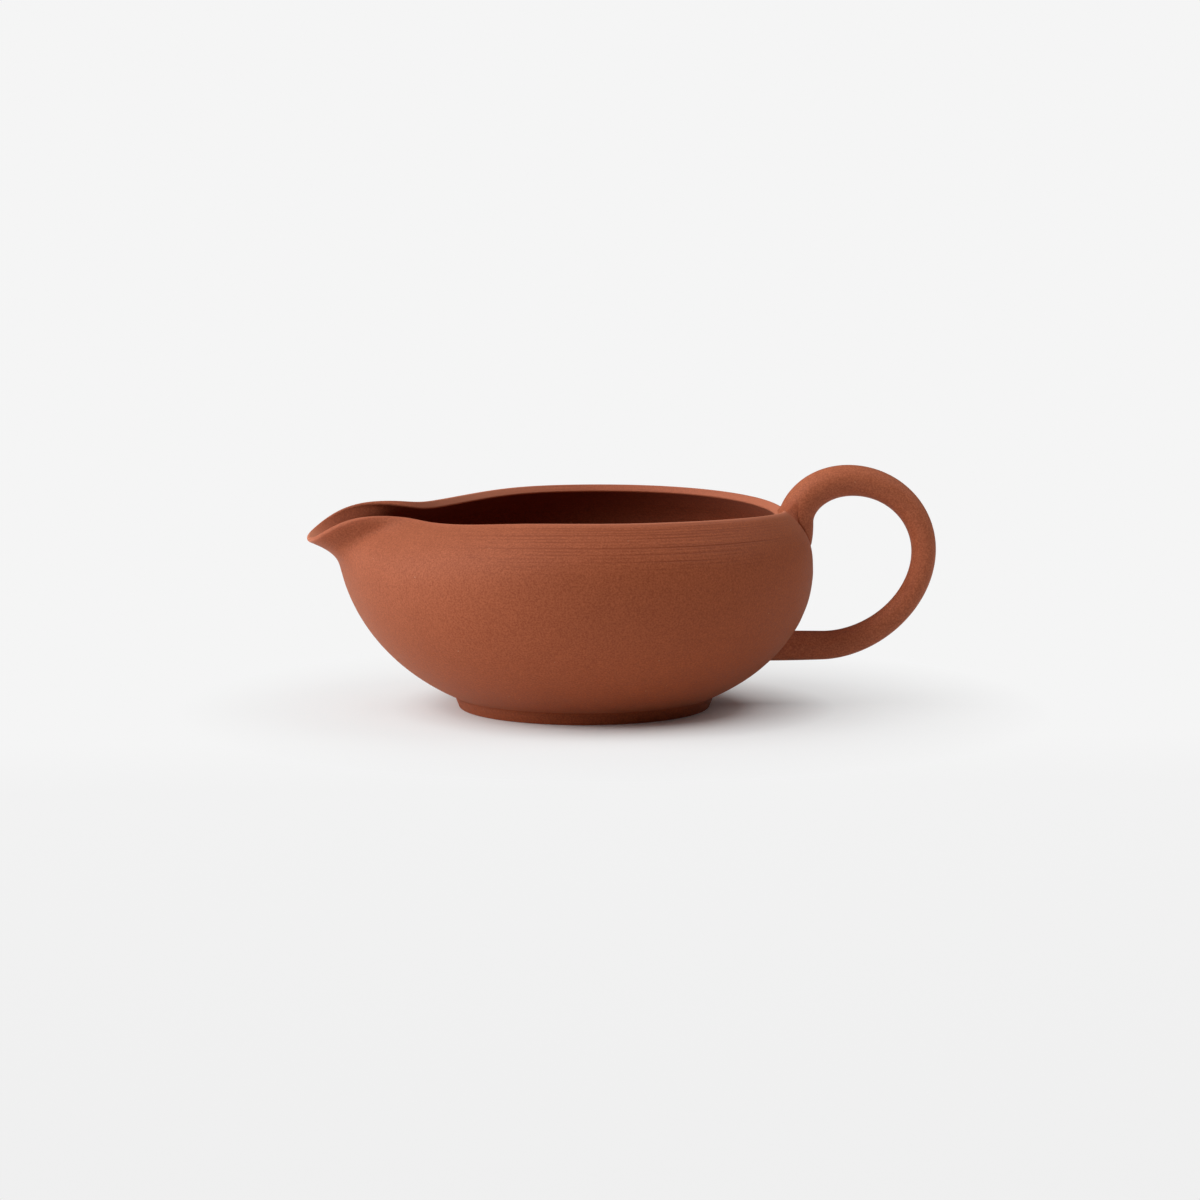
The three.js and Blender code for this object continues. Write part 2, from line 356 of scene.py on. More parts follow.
# %% Throwing rings
throwing_waves = [(6.1, 0.014, 1), (3.7, 0.006, -1), (2.3, 0.002, 2)]
foot_fade = 4
lip_fade = 8
spout_calm = 0.8
spout_calm_angle = 40


def throwing_rings(points, fade):
    turn = np.arctan2(points[:, 1], points[:, 0])
    ripple = np.zeros(len(points))
    for pitch, depth, starts in throwing_waves:
        ripple += depth * np.sin(2 * np.pi * points[:, 2] / pitch + starts * turn + pitch)
    return ripple * fade


def rippled(surface, angles, rise, distance, fade):
    here, up, out = wall_frame(surface, angles, rise)
    calm = 1 - spout_calm * np.exp(-((np.abs(angles) / spout_calm_angle) ** 2))
    ripple = throwing_rings(here, fade) * calm
    distance = np.broadcast_to(distance, ripple.shape)
    return here + out * (distance + np.sign(distance + 1e-9) * ripple)[:, None]


print(f"The deepest ring is {sum(depth for pitch, depth, starts in throwing_waves):.3f} mm deep")

# %% [markdown]
# Now the bowl itself: the rings are stacked up the outside, over the lip and down the inside to the
# floor. A modifier that thickens a single sheet could give the inside, but the wall's thickness
# changes with the height, so both skins are laid here. Towards the handle the lip is a little
# fuller on its inner side.

# %% The bowl
lower_rows = 90
shoulder_rows = 84
lip_gain = 0.35
lip_gain_angle = 50
lip_gain_curve = 6


def lip_gain_at(sides):
    return lip_gain * np.clip((sides - 180 + lip_gain_angle) / lip_gain_angle, 0, 1) ** 2


def shoulder_ring(angles, rise, distance):
    return rippled(shoulder_middle, angles, rise, distance, min(1, lip_fade * (1 - rise)))


def outer_rings(angles):
    sides = np.abs(angles)
    rings = [place(angles, sides, radius, z) for radius, z in foot_profile()]
    for row in range(1, lower_rows):
        rise = row / lower_rows
        rings.append(rippled(lower_outside, angles, rise, 0, min(1, foot_fade * rise)))
    for row in range(shoulder_rows + 1):
        rise = row / shoulder_rows
        rings.append(shoulder_ring(angles, rise, half_wall(sides, rise)))
    return rings


def lip_rings(angles):
    sides = np.abs(angles)
    here, up, out = wall_frame(shoulder_middle, angles, 1)
    soft = spout_share(sides)[:, None]
    slim = half_wall(sides, 1)[:, None] / (lip_wall / 2)
    gain = lip_gain_at(sides)[:, None]
    rings = []
    for flat_point, round_point in lip_profile():
        across, high = (flat * (1 - soft) + curved * soft for flat, curved in zip(flat_point, round_point))
        inner_share = 0.5 - across / lip_wall
        rings.append(here + (out * across + up * high) * slim - out * inner_share * gain)
    return rings


def inner_rings(angles):
    sides = np.abs(angles)
    rings = []
    for row in range(shoulder_rows, -1, -1):
        rise = row / shoulder_rows
        thick = half_wall(sides, rise) + lip_gain_at(sides) * rise**lip_gain_curve
        rings.append(shoulder_ring(angles, rise, -thick))
    for row in range(lower_rows - 1, 0, -1):
        rings.append(lower_inside(angles, row / lower_rows))
    return rings


outside_skin, lip_skin, inside_skin = outer_rings(columns), lip_rings(columns), inner_rings(columns)
bowl_skin = outside_skin + lip_skin + inside_skin
bowl_body = closed_mesh("bowl_body", bowl_skin, (0, 0, foot_height - foot_edge), (0, 0, floor_level))

# %% [markdown]
# A finish has to know where on the bowl it is. Three marks are kept on the points of the mesh: one is
# 1 on the inner skin, where the finish paints shade; one is high on the pale lip, partly wear and
# partly a painted highlight; and reach is the distance along the skin from the middle of the base. A
# painted picture could say the same, but marks need no unwrapping and stay with the mesh. Near the
# spout the inner skin lies open to the lamps, and so does its upper part by the handle, so the painted
# shade fades there. The two halves of the rim carry the pale mark differently: columns with a negative angle
# are the near half.

# %% Marks on the skin of the bowl
# Painted shade on the inner skin: it fades by the spout and by the handle, where the lamps reach in.
lit_inner_sides = [0, 12, 30, 42]
lit_inner_shares = [1, 1, 0.6, 0]
handle_lit_start = 100
handle_lit_spread = 60
shaded_lip_end = 75
shaded_lip_fade = 20
# The pale lip is partly wear and partly a painted highlight, most of it along the near rim and at the spout
# tip.
pale_lip_rows = 6
pale_lip_sides = [0, 6, 20, 38, 50, 62, 95, 120, 180]
far_wear_and_highlight_shares = [1, 0.8, 0.15, 0.15, 1, 0.9, 0.3, 0.3, 0.7]
near_wear_and_highlight_shares = [1, 0.8, 0.3, 0.3, 0.5, 0.4, 0.8, 1, 1]
spout_highlight_end = 22
spout_highlight_fade = 16
spout_highlight_curve = 6

lip_start = len(outside_skin)
inside_start = lip_start + len(lip_skin)


def inner_shade_mark(sides):
    mark = np.zeros((len(bowl_skin), side_steps))
    mark[inside_start:] = 1
    shaded = np.clip((shaded_lip_end - sides) / shaded_lip_fade, 0, 1) * (1 - spout_share(sides))
    for row in range(lip_rows):
        mark[inside_start - lip_rows + row] = shaded * row / lip_rows
    for row in range(shoulder_rows + 1):
        rise = row / shoulder_rows
        spout_side = np.interp(sides, lit_inner_sides, lit_inner_shares) * rise**2
        handle_side = np.clip((sides - handle_lit_start) / handle_lit_spread, 0, 1) * rise
        mark[inside_start + shoulder_rows - row] = 1 - np.maximum(spout_side, handle_side)
    return mark


def wear_and_highlight_mark(sides):
    mark = np.zeros((len(bowl_skin), side_steps))
    far_half = np.interp(sides, pale_lip_sides, far_wear_and_highlight_shares)
    pale_lip_share = np.where(columns < 0, np.interp(sides, pale_lip_sides, near_wear_and_highlight_shares), far_half)
    mark[lip_start:inside_start] = pale_lip_share
    for row in range(1, pale_lip_rows + 1):
        mark[lip_start - row] = pale_lip_share * (1 - row / (pale_lip_rows + 1)) ** 2
    # Painted highlight on the inner spout near its tip.
    spout_tip = np.clip((spout_highlight_end - sides) / spout_highlight_fade, 0, 1)
    for row in range(shoulder_rows + 1):
        rise = row / shoulder_rows
        mark[inside_start + shoulder_rows - row] = spout_tip * rise**spout_highlight_curve
    return mark


def reach_mark():
    column = int(np.argmin(np.abs(columns - 90)))
    track = np.array([ring[column] for ring in bowl_skin])
    along = np.concatenate([[0], np.cumsum(np.linalg.norm(np.diff(track, axis=0), axis=1))])
    return np.repeat(along[:, None], side_steps, axis=1) * MM


def keep_mark(label, mark):
    values = np.concatenate([mark[0, :1], mark.ravel(), mark[-1, :1]])
    bowl_body.data.attributes.new(label, "FLOAT", "POINT").data.foreach_set("value", values)


skin_reach = reach_mark()
keep_mark("inside", inner_shade_mark(np.abs(columns)))
keep_mark("wear_and_highlight", wear_and_highlight_mark(np.abs(columns)))
keep_mark("reach", skin_reach)
marks = skin_reach[[lip_start, inside_start], 0] / MM
print(f"Along the skin the lip starts at {marks[0]:.1f} mm and the inside at {marks[1]:.1f} mm")

# %% [markdown]
# The handle is one rolled coil, bent into a loop and slimmest where the fingers bend it most. A
# curve object with a bevel could make it, but the coil swells at both ends and is a little wider
# than it is thick, so it is swept here ring by ring along its middle line. That line leaves the
# shoulder upwards, goes round in three curves and comes back level under the belly.

# %% The middle line of the coil
handle_top = np.array([63.3, 53.55])
handle_out = np.array([81.3, 36.5])
handle_low = np.array([57.0, 14.0])
handle_root_height = 44
handle_root_lean = np.array([0.9, 5])
handle_root_buried = 8
handle_buried = 5.5
loop_roundness = 0.5523
low_loop_roundness = 0.515
root_steps = 60
line_steps = 400
low_steps = 120


def bezier(points, steps):
    t = np.linspace(0, 1, steps, endpoint=False)[:, None]
    a, b, c, d = points
    return (1 - t) ** 3 * a + 3 * (1 - t) ** 2 * t * b + 3 * (1 - t) * t**2 * c + t**3 * d


def upper_root():
    rise = (handle_root_height - belly_height) / (rim_at(np.array([180.0]))[2][0] - belly_height)
    root_x = shoulder_middle(np.array([180.0]), rise)[0, 0] + half_wall(180, rise)
    return np.array([root_x, handle_root_height])


def lower_end():
    turn = math.acos((belly_height - handle_low[1]) / lower_wall_depth)
    wall_x = belly_radius - lower_wall_reach * (1 - math.sin(turn))
    return np.array([wall_x - handle_buried, handle_low[1]])


def coil_line():
    root = upper_root()
    lean = handle_root_lean / np.linalg.norm(handle_root_lean)
    turn = handle_out - handle_top
    low = handle_out - handle_low
    first = handle_top - np.array([(handle_top[0] - root[0]) * loop_roundness, 0])
    parts = [
        np.linspace(root - lean * handle_root_buried, root, root_steps, endpoint=False),
        bezier((root, root + handle_root_lean, first, handle_top), line_steps),
        bezier((handle_top, handle_top + (turn[0] * loop_roundness, 0),
                handle_out - (0, turn[1] * loop_roundness), handle_out), line_steps),
        bezier((handle_out, handle_out - (0, low[1] * low_loop_roundness),
                handle_low + (low[0] * low_loop_roundness, 0), handle_low), line_steps),
        np.linspace(handle_low, lower_end(), low_steps),
    ]
    return np.concatenate(parts)


coil_points = coil_line()
coil_reach = np.concatenate([[0], np.cumsum(np.linalg.norm(np.diff(coil_points, axis=0), axis=1))])
coil_length = coil_reach[-1]
print(f"The coil is {coil_length:.0f} mm long")

# %% [markdown]
# A rolled coil is never quite round. It is thick at both roots and slim in the loop, and on the
# finger side of the upper root it has a small heel, where it was pressed on. A place on its skin is
# given by the fraction of the coil's length and by the turn round it, where turn 0 is the outside
# of the loop.

# %% The skin of the coil
slim_thickness = 5.85
upper_root_thickness = 8.2
lower_root_thickness = 7.13
upper_swell = 1.7
lower_swell = 2.2
slim_place = 0.55
coil_widening = 1.12
root_heel = 0.95
root_heel_place = 4
root_heel_reach = 5.5
rolling_marks = [(0.012, 2, 9), (0.008, 3, 23)]
coil_probe = 0.4


def coil_half_thickness(fraction):
    upper = fraction < slim_place
    end = upper_root_thickness if upper else lower_root_thickness
    span = slim_place if upper else 1 - slim_place
    swell = upper_swell if upper else lower_swell
    away = math.sin(math.pi / 2 * abs(fraction - slim_place) / span) ** swell
    return (slim_thickness + (end - slim_thickness) * away) / 2


def coil_frame(fraction):
    at = fraction * coil_length
    near = [np.array([np.interp(at + d, coil_reach, coil_points[:, i]) for i in (0, 1)])
            for d in (-coil_probe, 0, coil_probe)]
    forward = (near[2] - near[0]) / np.linalg.norm(near[2] - near[0])
    centre = np.array([near[1][0], 0, near[1][1]])
    return centre, np.array([-forward[1], 0, forward[0]])


def coil_side_point(fraction, turn, groove=0):
    centre, normal = coil_frame(fraction)
    away = (fraction * coil_length - root_heel_place) / root_heel_reach
    heel = root_heel * (0.5 - 0.5 * math.cos(turn)) ** 2 * math.exp(-(away**2))
    half = coil_half_thickness(fraction) + heel - groove
    uneven = 1
    for depth, lobes, twist in rolling_marks:
        uneven += depth * math.sin(lobes * turn + twist * fraction)
    across = np.array([0, math.sin(turn) * coil_widening, 0])
    return centre + half * uneven * (math.cos(turn) * normal + across)


print("The coil's thickness in mm:", [round(2 * coil_half_thickness(f), 1) for f in (0, 0.25, 0.5, 0.75, 1)])

# %% [markdown]
# Each end of the coil is pressed onto the wall, so it takes the wall's own shape and stops inside
# it. A boolean modifier could cut the end, but it would leave a ragged edge in a fine mesh. So a ray
# along each side of the coil finds where that side meets the wall, and the side ends a little
# deeper than that. Where a side passes over the lip, the lip's nearest place counts.

# %% Where the coil meets the wall
search_length = 9
search_steps = 100


def skin_tree(piece):
    mesh = piece.data
    return BVHTree.FromPolygons([v.co for v in mesh.vertices], [list(p.vertices) for p in mesh.polygons])


def in_metres(point):
    return Vector(((point[0] + axis_x) * MM, point[1] * MM, point[2] * MM))


def meeting_place(turn, at_start):
    buried = handle_root_buried if at_start else handle_buried
    fractions = np.linspace((buried + search_length) / coil_length, 0, search_steps)
    if not at_start:
        fractions = 1 - fractions
    before = in_metres(coil_side_point(fractions[0], turn))
    nearest = None
    for last, fraction in zip(fractions, fractions[1:]):
        after = in_metres(coil_side_point(fraction, turn))
        way = after - before
        point, wall_normal, face, distance = bowl_tree.ray_cast(before, way.normalized(), way.length)
        if point is not None:
            met = last + (fraction - last) * distance / way.length
            return met, point, wall_normal, -way.normalized()
        point, wall_normal, face, distance = bowl_tree.find_nearest(after)
        if nearest is None or distance < nearest[0]:
            nearest = distance, fraction, point, wall_normal, -way.normalized()
        before = after
    return nearest[1:]


bowl_tree = skin_tree(bowl_body)
top_meeting = meeting_place(0, True)[1]
print(f"The top of the coil meets the bowl {top_meeting.z / MM:.1f} mm above the table")

# %% [markdown]
# The rings of the coil lie square to its middle line in the loop, and lean over near each end until
# the last ring lies in the wall. On the finger side of the upper root a fine seam was left between
# the coil and the wall, so the coil's skin dips there.

# %% The coil handle
coil_sides = 56
coil_rings = 200
end_rings = 16
end_crowding = 0.02
end_share = 0.14
coil_seat = 0.9
seam_depth = 0.45
seam_width = 0.4
seam_start = 0.15
seam_spread = 0.5


def seam_share(turn):
    return min(1, max(0, (seam_start - math.cos(turn)) / seam_spread))


def ring_shares():
    crowd = np.linspace(0, end_crowding, end_rings, endpoint=False)
    loop = np.linspace(end_crowding, 1 - end_crowding, coil_rings)
    return np.concatenate([crowd, loop, (1 - crowd)[::-1]])


def make_handle():
    turns = 2 * np.pi * np.arange(coil_sides) / coil_sides
    seat = coil_seat / coil_length
    first = np.array([meeting_place(turn, True)[0] for turn in turns]) - seat
    last = np.array([meeting_place(turn, False)[0] for turn in turns]) + seat
    rings = []
    for share in ring_shares():
        middle = first.mean() + (last.mean() - first.mean()) * share
        pull = max(0, 1 - share / end_share) ** 2
        push = max(0, 1 - (1 - share) / end_share) ** 2
        fractions = middle + (first - first.mean()) * pull + (last - last.mean()) * push
        past = (fractions - first - seat) * coil_length / seam_width
        seams = seam_depth * np.exp(-(past**2)) * [seam_share(turn) for turn in turns]
        rings.append(np.array([coil_side_point(*along) for along in zip(fractions, turns, seams)]))
    return closed_mesh("coil_handle", rings, rings[0].mean(axis=0), rings[-1].mean(axis=0))


coil_handle = make_handle()

# %% [markdown]
# Slip squeezed out of each joint is smoothed with a wet finger into a fillet. A bevel can't make
# it, because the coil and the bowl are separate bodies. So a small ring is laid round the coil: in
# each direction a ray finds the corner where coil meets wall, and a short curve leads from the
# coil's skin round that corner to the wall's skin. On the finger side of the upper joint almost no
# slip was left, and the seam shows there.

# %% The slip fillets
fillet_columns = 96
fillet_rows = 10
fillet_sunk = 0.25
fillet_spread = 1.5
fillet_fold = 50
fillet_places = [-1, -0.3, 0.1, 0.6, 1]
upper_fillet_sizes = [0.05, 0.08, 2.4, 3.4, 1.4]
lower_fillet_sizes = [0.4, 0.5, 0.5, 0.5, 0.5]


def fillet_section(turn, at_start, sizes):
    fraction, corner, wall_normal, outward = meeting_place(turn, at_start)
    normal = coil_frame(fraction)[1]
    skin = Vector(math.cos(turn) * normal + math.sin(turn) * np.array([0, 1, 0]))
    if wall_normal.dot(outward) < 0:
        wall_normal = -wall_normal
    size = np.interp(math.cos(turn), fillet_places, sizes) * MM
    away = (skin - wall_normal * skin.dot(wall_normal)).normalized()
    ahead = size / MM / coil_length * (1 if at_start else -1)
    upper = in_metres(coil_side_point(fraction + ahead, turn))
    lower = bowl_tree.find_nearest(corner + away * size * fillet_spread)[0]
    if at_start:
        drop = (wall_normal + skin) * seam_share(turn) * seam_depth * MM
        corner, upper, lower = corner - drop, upper - drop, lower - drop
    sunk = fillet_sunk * MM
    section = [upper - skin * sunk]
    for row in range(fillet_rows + 1):
        t = row / fillet_rows
        section.append((1 - t) ** 2 * upper + 2 * (1 - t) * t * corner + t**2 * lower)
    section.append(lower - wall_normal * sunk)
    section.append(corner - (wall_normal + skin) * 2 * sunk)
    return section


def make_fillet(name, at_start, sizes):
    turns = 2 * np.pi * np.arange(fillet_columns) / fillet_columns
    sections = [fillet_section(turn, at_start, sizes) for turn in turns]
    count = len(sections[0])
    points = [tuple(point) for section in sections for point in section]
    faces = []
    for column in range(fillet_columns):
        here, after = column * count, (column + 1) % fillet_columns * count
        for row in range(count):
            next_row = (row + 1) % count
            faces.append((here + row, after + row, after + next_row, here + next_row))
    mesh = bpy.data.meshes.new(name)
    mesh.from_pydata(points, [], faces)
    fillet = finished(name, mesh)
    mesh.set_sharp_from_angle(angle=math.radians(fillet_fold))
    return fillet


upper_slip_fillet = make_fillet("upper_slip_fillet", True, upper_fillet_sizes)
lower_slip_fillet = make_fillet("lower_slip_fillet", False, lower_fillet_sizes)

# %% [markdown]
# Each fine piece now takes the place of its plain solid and rides on the one body that the
# pitcher is. It also names the material slot of the record that its finish belongs to.

# %% Places in the frame
pieces = [
    (bowl_body, "bowl", "red_clay"),
    (coil_handle, "handle", "coil_clay"),
    (upper_slip_fillet, "upper_slip_joint", "luting_slip"),
    (lower_slip_fillet, "lower_slip_joint", "luting_slip"),
]
for piece, node, slot in pieces:
    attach(piece, "root")
    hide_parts(node)
print("Pieces in place:", [piece.name for piece, node, slot in pieces])

# %% [markdown]
# A finish is a small net of nodes. These helpers add one node each and join it up, so that the
# cells after this one read like the finish that they make. A value given to a helper is either a
# plain number or colour, or the output of another node.

# %% Helpers for shader nodes
def new_group(name, inputs, outputs):
    group = bpy.data.node_groups.new(name, "ShaderNodeTree")
    for label, value in inputs:
        socket = group.interface.new_socket(name=label, in_out="INPUT", socket_type="NodeSocketFloat")
        socket.default_value = value
    for label in outputs:
        group.interface.new_socket(name=label, in_out="OUTPUT", socket_type="NodeSocketFloat")
    return group, group.nodes.new("NodeGroupInput"), group.nodes.new("NodeGroupOutput")


def add(tree, kind, **settings):
    node = tree.nodes.new(kind)
    for name, value in settings.items():
        setattr(node, name, value)
    return node


def feed(tree, value, socket):
    if isinstance(value, bpy.types.NodeSocket):
        tree.links.new(value, socket)
    else:
        socket.default_value = value


def math_node(tree, operation, *values):
    node = add(tree, "ShaderNodeMath", operation=operation)
    for socket, value in zip(node.inputs, values):
        feed(tree, value, socket)
    return node.outputs[0]


def centred(tree, value, amount):
    return math_node(tree, "MULTIPLY_ADD", value, amount, -amount / 2)


def noise(tree, vector, scale, detail, roughness=0.5):
    node = add(tree, "ShaderNodeTexNoise")
    for name, value in (("Vector", vector), ("Scale", scale), ("Detail", detail), ("Roughness", roughness)):
        feed(tree, value, node.inputs[name])
    return node.outputs["Fac"]


def remap(tree, value, low, high, to_low, to_high):
    node = add(tree, "ShaderNodeMapRange")
    for name, number in (("Value", value), ("From Min", low), ("From Max", high),
                         ("To Min", to_low), ("To Max", to_high)):
        feed(tree, number, node.inputs[name])
    return node.outputs["Result"]


def object_spot(tree):
    return add(tree, "ShaderNodeTexCoord").outputs["Object"]


def split_spot(tree, spot):
    node = add(tree, "ShaderNodeSeparateXYZ")
    feed(tree, spot, node.inputs[0])
    return node.outputs


print("Helpers:", [helper.__name__ for helper in (new_group, add, feed, math_node, centred, noise, remap)])

# %% [markdown]
# Fired red clay is matt, but never one flat colour. Its grain is a fine mottling of lighter and
# darker particles, with softer and larger clouds in it and a few pale grits. The grain comes from
# noise in the object's own coordinates, so it stays on the clay when the pitcher moves. It is a
# node group with named inputs, so each clay can use it at its own strength.

# %% Clay grain, a shader group
grain_layers = [(2500, 3, 0.6, 3.2), (160, 4, 0.5, 0.28), (24, 2, 0.5, 0.2)]
grit_cells = 420
grit_size = (0.045, 0.08)
grit_choice = (0.85, 0.88)
tooth = (1500, 4, 0.6)


def make_grain_group():
    group, source, result = new_group(
        "clay_grain", [("Contrast", 1.0), ("Grits", 1.0)], ["Tone", "Grit", "Height"])
    spot = object_spot(group)
    total = 0
    for scale, detail, roughness, amount in grain_layers:
        layer = centred(group, noise(group, spot, scale, detail, roughness), amount)
        total = math_node(group, "ADD", layer, total)
    tone = math_node(group, "MULTIPLY", total, source.outputs["Contrast"])
    cells = add(group, "ShaderNodeTexVoronoi")
    feed(group, grit_cells, cells.inputs["Scale"])
    feed(group, spot, cells.inputs["Vector"])
    near = remap(group, cells.outputs["Distance"], *grit_size, 1, 0)
    bright = add(group, "ShaderNodeSeparateColor")
    feed(group, cells.outputs["Color"], bright.inputs["Color"])
    chosen = remap(group, bright.outputs["Red"], *grit_choice, 0, 1)
    grit = math_node(group, "MULTIPLY", near, chosen)
    feed(group, tone, result.inputs["Tone"])
    feed(group, math_node(group, "MULTIPLY", grit, source.outputs["Grits"]), result.inputs["Grit"])
    feed(group, noise(group, spot, *tooth), result.inputs["Height"])
    return group


clay_grain = make_grain_group()
print("Shader group", clay_grain.name, "has", len(clay_grain.nodes), "nodes")

# %% [markdown]
# The lamps don't light every side alike, and this drift paints that into the colour. The upper wall
# towards the spout is painted paler and pinker, where the lamps light it, and the lower wall towards
# the handle deeper and redder, where it lies in shade. The group puts out only how far a place lies
# on the way from one to the other, and the material has the colours.

# %% Painted light drift, a shader group
light_drift_length = 0.113
light_drift_height = 0.072
light_drift_level = 0.029


def make_light_drift_group():
    group, source, result = new_group("painted_light_drift", [("Amount", 1.0)], ["Flame"])
    split = split_spot(group, object_spot(group))
    start = 0.5 - axis_x * MM / light_drift_length
    along = math_node(group, "MULTIPLY_ADD", split["X"], 1 / light_drift_length, start)
    low = math_node(group, "MULTIPLY_ADD", split["Z"], -1 / light_drift_height, light_drift_level / light_drift_height)
    side_shade = math_node(group, "ADD", along, low)
    side_shade.node.use_clamp = True
    feed(group, math_node(group, "MULTIPLY", side_shade, source.outputs["Amount"]), result.inputs["Flame"])
    return group


painted_light_drift = make_light_drift_group()
print("Shader group", painted_light_drift.name, "has", len(painted_light_drift.nodes), "nodes")

# %% [markdown]
# The wheel draws the grain out into thin level lines, and a rib cut two fine grooves under the lip.
# A wave that runs along the skin gives the lines, a slow noise lets them wander, and a second noise
# breaks them up. The lines are strongest under the lip and are left out beside the spout and by the
# handle, where the wall was smoothed again. They are too fine for the mesh, so the group puts out a
# tone and a height for the finish. The two grooves are darker in tone as well: painted shade in them.

# %% Throwing lines, a shader group
streaks = (9, 2000, 2)
streak_amount = 0.8
line_pace = 2 * math.pi / 0.0009
line_drift = (16, 60, 2)
line_wander = 6
line_sharpness = 3
line_breaks = (40, 700, 1)
line_break_range = (-0.12, 0.2)
line_amount = -0.9
bands = (3, 110, 2)
band_amount = 0.12
patch_size = 26
patch_range = (0.4, 0.62)
patch_low = 0.3
lip_line_range = (0.15, 2)
grooves = (0.0895, 0.0856)
groove_width = 0.0003
groove_wander = 0.0006
groove_wander_size = 14
groove_amount = 0.8
spout_clear = (-0.05, -0.02)
handle_clear = (0.045, 0.015)


def lines_along(tree, unrolled, scale, pace, detail):
    stretch = add(tree, "ShaderNodeVectorMath", operation="MULTIPLY")
    stretch.inputs[1].default_value = (scale, scale, pace)
    feed(tree, unrolled, stretch.inputs[0])
    return math_node(tree, "SUBTRACT", noise(tree, stretch.outputs[0], 1, detail, 0.6), 0.5)


def unrolled_spot(tree, split, reach):
    node = add(tree, "ShaderNodeCombineXYZ")
    for name, value in (("X", split["X"]), ("Y", split["Y"]), ("Z", reach)):
        feed(tree, value, node.inputs[name])
    return node.outputs[0]


def thin_lines(tree, unrolled, reach):
    drift = math_node(tree, "MULTIPLY", lines_along(tree, unrolled, *line_drift), line_wander)
    phase = math_node(tree, "ADD", math_node(tree, "MULTIPLY", reach, line_pace), drift)
    wave = math_node(tree, "MULTIPLY_ADD", math_node(tree, "SINE", phase), 0.5, 0.5)
    thin = math_node(tree, "POWER", wave, line_sharpness)
    faded = remap(tree, lines_along(tree, unrolled, *line_breaks), *line_break_range, 0, 1)
    return math_node(tree, "MULTIPLY", math_node(tree, "MULTIPLY", thin, faded), line_amount)


# A groove lowers the height and darkens the tone; the darker tone is painted shade in the groove.
def cut_groove(tree, spot, reach, groove):
    wander = math_node(tree, "MULTIPLY_ADD", noise(tree, spot, groove_wander_size, 1),
                       groove_wander, -groove - groove_wander / 2)
    away = math_node(tree, "ABSOLUTE", math_node(tree, "ADD", reach, wander))
    return remap(tree, away, 0, groove_width, groove_amount, 0)


def make_lines_group():
    group, source, result = new_group(
        "throwing_lines", [("Strength", 1.0), ("Reach", 0.0), ("Under Lip", 0.0)], ["Tone", "Height"])
    strength, reach = source.outputs["Strength"], source.outputs["Reach"]
    spot = object_spot(group)
    split = split_spot(group, spot)
    unrolled = unrolled_spot(group, split, reach)
    past_spout = remap(group, split["X"], *spout_clear, 0, 1)
    before_handle = remap(group, split["X"], *handle_clear, 0, 1)
    open_wall = math_node(group, "MULTIPLY", past_spout, before_handle)
    fine = math_node(group, "MULTIPLY", lines_along(group, unrolled, *streaks), streak_amount)
    marks = math_node(group, "ADD", fine, thin_lines(group, unrolled, reach))
    marks = math_node(group, "MULTIPLY", marks, open_wall)
    patches = remap(group, noise(group, spot, patch_size, 1), *patch_range, patch_low, 1)
    under_lip = remap(group, source.outputs["Under Lip"], 0, 1, *lip_line_range)
    local = math_node(group, "MULTIPLY", marks, math_node(group, "MULTIPLY", patches, under_lip))
    for groove in grooves:
        cut = math_node(group, "MULTIPLY", cut_groove(group, spot, reach, groove), open_wall)
        local = math_node(group, "SUBTRACT", local, cut)
    band = math_node(group, "MULTIPLY", lines_along(group, unrolled, *bands), band_amount)
    both = math_node(group, "ADD", local, band)
    feed(group, math_node(group, "MULTIPLY", both, strength), result.inputs["Tone"])
    feed(group, math_node(group, "MULTIPLY", local, strength), result.inputs["Height"])
    return group


throwing_lines = make_lines_group()
print("Shader group", throwing_lines.name, "has", len(throwing_lines.nodes), "nodes")

# %% [markdown]
# The colour of a clay is built up in layers. First a dark and a light tone of the same red are mixed
# by the grain and the lines, and pale grits lie on top. The inner skin and the foot band are darkened
# with painted shade. Then a painted light drift tints the outer wall, paler where the lamps light it
# and deeper where it lies in shade, and last the lip turns pale, partly wear and partly a painted
# highlight.

# %% The colour of a clay
grit_colour = (0.56, 0.27, 0.15, 1)
# The pale lip colour: partly wear, partly a painted highlight.
wear_and_highlight_colour = (0.66, 0.22, 0.12, 1)
# Painted light and shade: the lit side is paler, the shaded side deeper and redder.
lit_side_tint = (1.03, 1.17, 1.22, 1)
shaded_side_tint = (0.92, 0.84, 0.58, 1)
lip_reach = (0.0925, 0.0935)
# Over this reach of the skin the foot band is darkened with painted shade.
foot_shade_reach = (0.0335, 0.0345)


def mark(tree, label):
    return add(tree, "ShaderNodeAttribute", attribute_name=label).outputs["Fac"]


def mixed(tree, factor, first, second, blend="MIX"):
    node = add(tree, "ShaderNodeMix", data_type="RGBA", blend_type=blend)
    for name, value in (("Factor", factor), ("A", first), ("B", second)):
        feed(tree, value, node.inputs[name])
    return node.outputs["Result"]


def placed(tree, group, values):
    node = add(tree, "ShaderNodeGroup", node_tree=group)
    for name, value in values.items():
        feed(tree, value, node.inputs[name])
    return node.outputs


